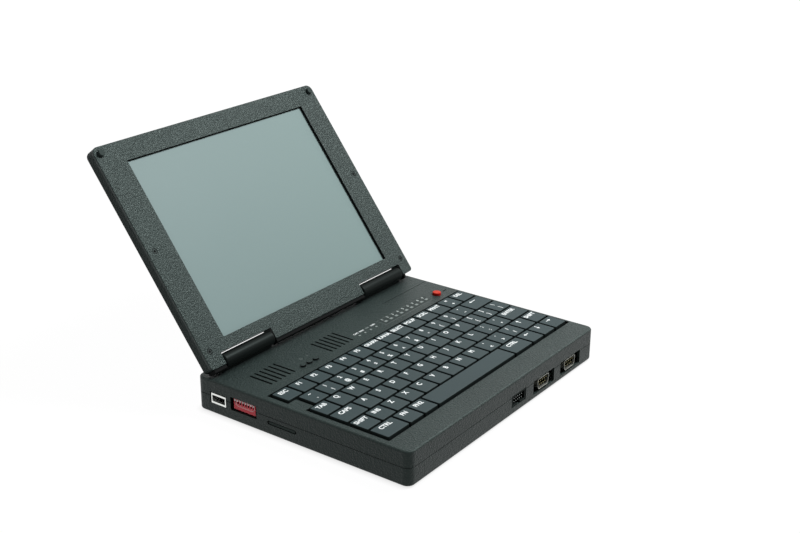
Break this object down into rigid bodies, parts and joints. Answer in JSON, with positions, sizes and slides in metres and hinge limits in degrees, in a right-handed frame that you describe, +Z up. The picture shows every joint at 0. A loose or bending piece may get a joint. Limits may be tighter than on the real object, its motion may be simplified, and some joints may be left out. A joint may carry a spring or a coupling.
{
  "type": "laptop computer",
  "caption": "Small thick laptop with a leaning lid on two barrel hinges, a full key grid, round power button, and ports in its front and left edges.",
  "frame": {"origin": "under the middle of the base, on the surface that the feet stand on", "axes": "+X to the user's right, +Y from the front edge to the back edge, +Z up"},
  "size_m": [0.2505, 0.2962, 0.1812],
  "materials": {
    "case_plastic": "fine textured",
    "key_plastic": "satin",
    "hinge_plastic": "smooth",
    "black_rubber": "matte",
    "bumper_rubber": "matte",
    "dome_rubber": "matte",
    "screw_steel": "dark zinc",
    "sheet_steel": "brushed",
    "tray_metal": "bare",
    "circuit_board": "solder mask",
    "battery_wrap": "film",
    "socket_metal": "plated",
    "contact_metal": "plated",
    "socket_plastic": "moulded",
    "header_plastic": "moulded",
    "tin_plate": "plated",
    "frame_plastic": "moulded",
    "speaker_black": "satin",
    "switch_red": "moulded",
    "lever_white": "moulded",
    "button_red": "polished",
    "window_smoke": "clear smoke",
    "display_face": "etched"
  },
  "bodies": {
    "base": {"bottom_case": "case_plastic", "top_case": "case_plastic", "hinge_cover_left": "hinge_plastic", "hinge_cover_right": "hinge_plastic", "rubber_feet": "black_rubber", "dome_sheet": "dome_rubber", "base_screws": "screw_steel", "keyboard_backplate": "sheet_steel", "hinge_bracket_left": "sheet_steel", "hinge_bracket_right": "sheet_steel", "mainboard": "circuit_board", "front_port_board": "circuit_board", "status_board": "circuit_board", "battery_pack": "battery_wrap", "usb_shell": "socket_metal", "port_shell_1": "socket_metal", "port_shell_2": "socket_metal", "card_socket": "socket_metal", "port_pins": "contact_metal", "usb_insulator": "socket_plastic", "port_insulators": "socket_plastic", "header_body": "header_plastic", "header_pins": "tin_plate", "keyboard_frame": "frame_plastic", "speaker_left": "speaker_black", "speaker_right": "speaker_black", "power_switch": "speaker_black", "dip_switch_body": "switch_red", "status_windows": "window_smoke"},
    "lid": {"lid_shell": "case_plastic", "lid_bezel": "case_plastic", "display_panel": "display_face", "display_frame": "tray_metal", "hinge_leaf_left": "sheet_steel", "hinge_leaf_right": "sheet_steel", "lid_screws": "screw_steel", "lid_bumpers": "bumper_rubber"},
    "power_button": {"power_button": "button_red"},
    "dip_levers": {"dip_switch_levers": "lever_white"},
    "escape_key": {"escape_key": "key_plastic"},
    "function_keys": {"function_keys": "key_plastic"},
    "delete_key": {"delete_key": "key_plastic"},
    "number_keys": {"number_keys": "key_plastic"},
    "backspace_key": {"backspace_key": "key_plastic"},
    "tab_key": {"tab_key": "key_plastic"},
    "top_letter_keys": {"top_letter_keys": "key_plastic"},
    "caps_key": {"caps_key": "key_plastic"},
    "home_letter_keys": {"home_letter_keys": "key_plastic"},
    "enter_key": {"enter_key": "key_plastic"},
    "shift_key_left": {"shift_key_left": "key_plastic"},
    "bottom_letter_keys": {"bottom_letter_keys": "key_plastic"},
    "arrow_key_up": {"arrow_key_up": "key_plastic"},
    "shift_key_right": {"shift_key_right": "key_plastic"},
    "ctrl_key_left": {"ctrl_key_left": "key_plastic"},
    "fn_keys": {"fn_keys": "key_plastic"},
    "space_key": {"space_key": "key_plastic"},
    "ctrl_key_right": {"ctrl_key_right": "key_plastic"},
    "arrow_key_left": {"arrow_key_left": "key_plastic"},
    "arrow_key_down": {"arrow_key_down": "key_plastic"},
    "arrow_key_right": {"arrow_key_right": "key_plastic"}
  },
  "joints": [
    {"name": "lid_hinge", "type": "hinge", "parent": "base", "child": "lid", "pos_m": [0, 0.086, 0.03445], "axis": [1, 0, 0], "range_deg": [-33, 127.3]},
    {"name": "power_button_press", "type": "slide", "parent": "base", "child": "power_button", "axis": [0, 0, -1], "range_m": [0, 0.0008], "stiffness_N_per_m": 900, "springref_m": -0.0008},
    {"name": "dip_levers_slide", "type": "slide", "parent": "base", "child": "dip_levers", "axis": [0, 0, -1], "range_m": [0, 0.002]},
    {"name": "escape_key_press", "type": "slide", "parent": "base", "child": "escape_key", "axis": [0, 0, -1], "range_m": [0, 0.002], "stiffness_N_per_m": 150, "springref_m": -0.001},
    {"name": "function_keys_press", "type": "slide", "parent": "base", "child": "function_keys", "axis": [0, 0, -1], "range_m": [0, 0.002], "stiffness_N_per_m": 1800, "springref_m": -0.001},
    {"name": "delete_key_press", "type": "slide", "parent": "base", "child": "delete_key", "axis": [0, 0, -1], "range_m": [0, 0.002], "stiffness_N_per_m": 150, "springref_m": -0.001},
    {"name": "number_keys_press", "type": "slide", "parent": "base", "child": "number_keys", "axis": [0, 0, -1], "range_m": [0, 0.002], "stiffness_N_per_m": 1800, "springref_m": -0.001},
    {"name": "backspace_key_press", "type": "slide", "parent": "base", "child": "backspace_key", "axis": [0, 0, -1], "range_m": [0, 0.002], "stiffness_N_per_m": 150, "springref_m": -0.001},
    {"name": "tab_key_press", "type": "slide", "parent": "base", "child": "tab_key", "axis": [0, 0, -1], "range_m": [0, 0.002], "stiffness_N_per_m": 150, "springref_m": -0.001},
    {"name": "top_letter_keys_press", "type": "slide", "parent": "base", "child": "top_letter_keys", "axis": [0, 0, -1], "range_m": [0, 0.002], "stiffness_N_per_m": 1950, "springref_m": -0.001},
    {"name": "caps_key_press", "type": "slide", "parent": "base", "child": "caps_key", "axis": [0, 0, -1], "range_m": [0, 0.002], "stiffness_N_per_m": 150, "springref_m": -0.001},
    {"name": "home_letter_keys_press", "type": "slide", "parent": "base", "child": "home_letter_keys", "axis": [0, 0, -1], "range_m": [0, 0.002], "stiffness_N_per_m": 1650, "springref_m": -0.001},
    {"name": "enter_key_press", "type": "slide", "parent": "base", "child": "enter_key", "axis": [0, 0, -1], "range_m": [0, 0.002], "stiffness_N_per_m": 150, "springref_m": -0.001},
    {"name": "shift_key_left_press", "type": "slide", "parent": "base", "child": "shift_key_left", "axis": [0, 0, -1], "range_m": [0, 0.002], "stiffness_N_per_m": 150, "springref_m": -0.001},
    {"name": "bottom_letter_keys_press", "type": "slide", "parent": "base", "child": "bottom_letter_keys", "axis": [0, 0, -1], "range_m": [0, 0.002], "stiffness_N_per_m": 1650, "springref_m": -0.001},
    {"name": "arrow_key_up_press", "type": "slide", "parent": "base", "child": "arrow_key_up", "axis": [0, 0, -1], "range_m": [0, 0.002], "stiffness_N_per_m": 150, "springref_m": -0.001},
    {"name": "shift_key_right_press", "type": "slide", "parent": "base", "child": "shift_key_right", "axis": [0, 0, -1], "range_m": [0, 0.002], "stiffness_N_per_m": 150, "springref_m": -0.001},
    {"name": "ctrl_key_left_press", "type": "slide", "parent": "base", "child": "ctrl_key_left", "axis": [0, 0, -1], "range_m": [0, 0.002], "stiffness_N_per_m": 150, "springref_m": -0.001},
    {"name": "fn_keys_press", "type": "slide", "parent": "base", "child": "fn_keys", "axis": [0, 0, -1], "range_m": [0, 0.002], "stiffness_N_per_m": 300, "springref_m": -0.001},
    {"name": "space_key_press", "type": "slide", "parent": "base", "child": "space_key", "axis": [0, 0, -1], "range_m": [0, 0.002], "stiffness_N_per_m": 150, "springref_m": -0.001},
    {"name": "ctrl_key_right_press", "type": "slide", "parent": "base", "child": "ctrl_key_right", "axis": [0, 0, -1], "range_m": [0, 0.002], "stiffness_N_per_m": 150, "springref_m": -0.001},
    {"name": "arrow_key_left_press", "type": "slide", "parent": "base", "child": "arrow_key_left", "axis": [0, 0, -1], "range_m": [0, 0.002], "stiffness_N_per_m": 150, "springref_m": -0.001},
    {"name": "arrow_key_down_press", "type": "slide", "parent": "base", "child": "arrow_key_down", "axis": [0, 0, -1], "range_m": [0, 0.002], "stiffness_N_per_m": 150, "springref_m": -0.001},
    {"name": "arrow_key_right_press", "type": "slide", "parent": "base", "child": "arrow_key_right", "axis": [0, 0, -1], "range_m": [0, 0.002], "stiffness_N_per_m": 150, "springref_m": -0.001}
  ]
}
